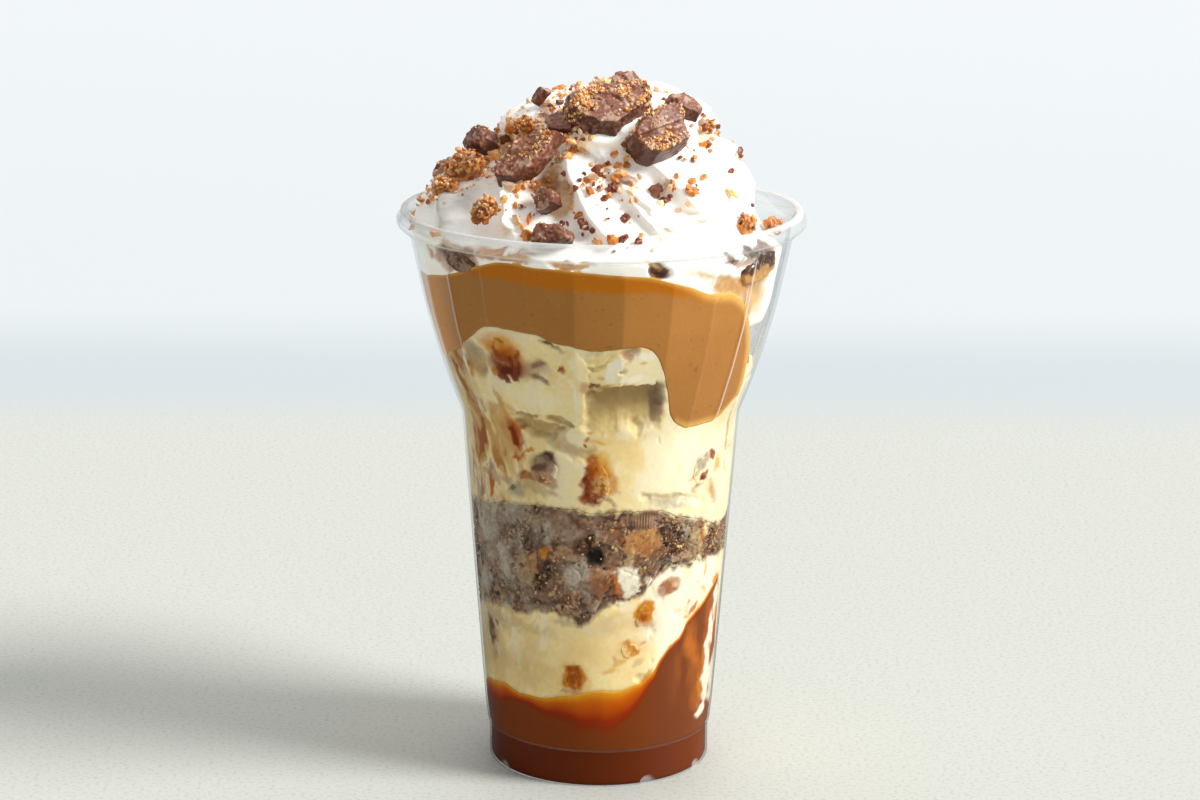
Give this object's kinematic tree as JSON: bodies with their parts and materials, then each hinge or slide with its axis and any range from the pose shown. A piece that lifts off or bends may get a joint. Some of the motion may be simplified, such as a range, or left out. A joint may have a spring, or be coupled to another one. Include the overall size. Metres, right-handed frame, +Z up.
{
  "type": "ice cream sundae in a clear plastic cup",
  "caption": "Layered ice cream sundae with caramel, crushed chocolate and honeycomb, tan sauce and whipped cream with broken chocolate, in a clear flared cup.",
  "frame": {"origin": "centre of the foot of the cup, on the surface that it stands on", "axes": "+Z up along the cup's axis, -Y towards the shown front, +X to the right of the front"},
  "size_m": [0.098, 0.098, 0.1708],
  "materials": {
    "clear_cup": "clear, glossy, thermoformed",
    "dark_caramel": "syrupy, glossy",
    "ice_cream": "creamy, half melted at the wall, with caramel stains",
    "crunch": "crushed chocolate and honeycomb, smeared with cream",
    "tan_sauce": "thick, smooth, slightly glossy",
    "whipped_cream": "soft, satin",
    "chocolate": "broken milk chocolate, dusted with crumbs",
    "honeycomb": "crumbly golden toffee with darker pits"
  },
  "bodies": {
    "root": {"cup": "clear_cup", "sauce_pool": "dark_caramel", "ice_cream_lower": "ice_cream", "crunch_layer": "crunch", "ice_cream_upper": "ice_cream", "tan_sauce": "tan_sauce", "whipped_cream": "whipped_cream", "chocolate_slab_top": "chocolate", "chocolate_block_grooved": "chocolate", "chocolate_shard_left": "chocolate", "chocolate_piece_far_left": "chocolate", "chocolate_piece_peak": "chocolate", "chocolate_curl_right": "chocolate", "chocolate_piece_front": "chocolate", "chocolate_shell_front": "chocolate", "chocolate_splinter_left": "chocolate", "chocolate_chip_upper_left": "chocolate", "chocolate_slab_back": "chocolate", "chocolate_piece_back_left": "chocolate", "chocolate_piece_back_right": "chocolate", "chocolate_shard_back_low": "chocolate", "honeycomb_cluster_left": "honeycomb", "honeycomb_cluster_low": "honeycomb", "honeycomb_piece_left": "honeycomb", "honeycomb_piece_upper_left": "honeycomb", "honeycomb_piece_right": "honeycomb", "honeycomb_piece_rim": "honeycomb", "honeycomb_piece_upper_right": "honeycomb", "honeycomb_cluster_back": "honeycomb", "honeycomb_piece_back": "honeycomb", "honeycomb_piece_back_low": "honeycomb", "honeycomb_piece_side": "honeycomb", "chocolate_under_rim_left": "chocolate", "chocolate_under_rim_right": "chocolate", "toffee_swirl_high": "honeycomb", "chocolate_bit_upper": "chocolate", "honeycomb_streak": "honeycomb", "chocolate_bit_right": "chocolate", "honeycomb_streak_back": "honeycomb", "chocolate_bit_back": "chocolate", "toffee_blob_low": "honeycomb", "honeycomb_cube_low": "honeycomb", "toffee_bit_low": "honeycomb", "chocolate_bit_low_left": "chocolate", "toffee_blob_back": "honeycomb"}
  },
  "joints": []
}
